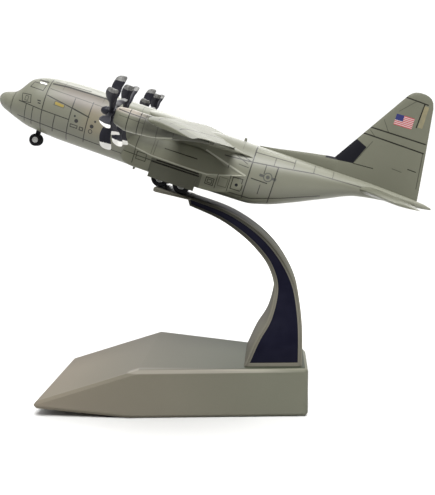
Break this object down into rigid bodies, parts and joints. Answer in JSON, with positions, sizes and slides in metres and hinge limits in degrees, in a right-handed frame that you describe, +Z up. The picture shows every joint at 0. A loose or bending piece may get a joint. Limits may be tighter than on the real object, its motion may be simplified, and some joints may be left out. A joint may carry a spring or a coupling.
{
  "type": "military transport plane desk model",
  "caption": "Desk model of a high-wing propeller-driven military transport plane, posed nose-up on a display stand with an angular plinth and a curved arm.",
  "frame": {"origin": "on the plinth's flat underside, on the aircraft's centre line and midway along the plinth", "axes": "-X towards the aircraft's nose, -Y towards its port side, +Z up from the table"},
  "size_m": [0.1672, 0.202, 0.1273],
  "materials": {
    "airframe": "satin grey-green paint with engraved panel lines",
    "propeller": "black plastic blades with silver-grey tips",
    "landing_gear": "black painted legs",
    "tyre_rubber": "black moulded tyre",
    "wheel_hub": "light grey painted hub",
    "stand_metal": "metallic grey-olive lacquer, satin",
    "inlay": "black satin inlay"
  },
  "bodies": {
    "root": {"aerial_belly_front": "airframe", "aerial_spine": "airframe", "arm_inlay_port": "inlay", "arm_inlay_starboard": "inlay", "cradle": "stand_metal", "dorsal_fillet": "airframe", "fin": "airframe", "fuselage": "airframe", "main_gear_door_port": "airframe", "main_gear_door_starboard": "airframe", "main_gear_leg_port": "landing_gear", "main_gear_leg_starboard": "landing_gear", "nacelle_1": "airframe", "nacelle_2": "airframe", "nacelle_3": "airframe", "nacelle_4": "airframe", "nose_gear_leg": "landing_gear", "plinth": "stand_metal", "radome": "airframe", "sponson_port": "airframe", "sponson_starboard": "airframe", "stabiliser_port": "airframe", "stabiliser_starboard": "airframe", "stand_arm": "stand_metal", "wing": "airframe"},
    "propeller_1_body": {"propeller_1": "propeller", "spinner_1": "propeller"},
    "propeller_2_body": {"propeller_2": "propeller", "spinner_2": "propeller"},
    "propeller_3_body": {"propeller_3": "propeller", "spinner_3": "propeller"},
    "propeller_4_body": {"propeller_4": "propeller", "spinner_4": "propeller"},
    "main_wheel_port_front": {"main_wheel_port_front_tyre": "tyre_rubber", "main_wheel_port_front_hub": "wheel_hub"},
    "main_wheel_port_rear": {"main_wheel_port_rear_tyre": "tyre_rubber", "main_wheel_port_rear_hub": "wheel_hub"},
    "main_wheel_starboard_front": {"main_wheel_starboard_front_tyre": "tyre_rubber", "main_wheel_starboard_front_hub": "wheel_hub"},
    "main_wheel_starboard_rear": {"main_wheel_starboard_rear_tyre": "tyre_rubber", "main_wheel_starboard_rear_hub": "wheel_hub"},
    "nose_wheels": {"nose_wheel_axle": "airframe", "nose_wheel_port_hub": "wheel_hub", "nose_wheel_port_tyre": "tyre_rubber", "nose_wheel_starboard_hub": "wheel_hub", "nose_wheel_starboard_tyre": "tyre_rubber"}
  },
  "joints": [
    {"name": "propeller_1_spin", "type": "hinge", "parent": "root", "child": "propeller_1_body", "pos_m": [-0.01519, -0.0504, 0.11281], "axis": [0.9732, 0, -0.23], "continuous": true},
    {"name": "propeller_2_spin", "type": "hinge", "parent": "root", "child": "propeller_2_body", "pos_m": [-0.01534, -0.0246, 0.11234], "axis": [0.9732, 0, -0.23], "continuous": true},
    {"name": "propeller_3_spin", "type": "hinge", "parent": "root", "child": "propeller_3_body", "pos_m": [-0.01534, 0.0246, 0.11234], "axis": [0.9732, 0, -0.23], "continuous": true},
    {"name": "propeller_4_spin", "type": "hinge", "parent": "root", "child": "propeller_4_body", "pos_m": [-0.01519, 0.0504, 0.11281], "axis": [0.9732, 0, -0.23], "continuous": true},
    {"name": "main_wheel_port_front_spin", "type": "hinge", "parent": "root", "child": "main_wheel_port_front", "pos_m": [-0.00428, -0.011, 0.08909], "axis": [0, 1, 0], "continuous": true},
    {"name": "main_wheel_port_rear_spin", "type": "hinge", "parent": "root", "child": "main_wheel_port_rear", "pos_m": [0.00379, -0.011, 0.08642], "axis": [0, 1, 0], "continuous": true},
    {"name": "main_wheel_starboard_front_spin", "type": "hinge", "parent": "root", "child": "main_wheel_starboard_front", "pos_m": [-0.00428, 0.011, 0.08909], "axis": [0, 1, 0], "continuous": true},
    {"name": "main_wheel_starboard_rear_spin", "type": "hinge", "parent": "root", "child": "main_wheel_starboard_rear", "pos_m": [0.00379, 0.011, 0.08642], "axis": [0, 1, 0], "continuous": true},
    {"name": "nose_wheels_spin", "type": "hinge", "parent": "root", "child": "nose_wheels", "pos_m": [-0.05425, 0, 0.10361], "axis": [0, 1, 0], "continuous": true}
  ]
}
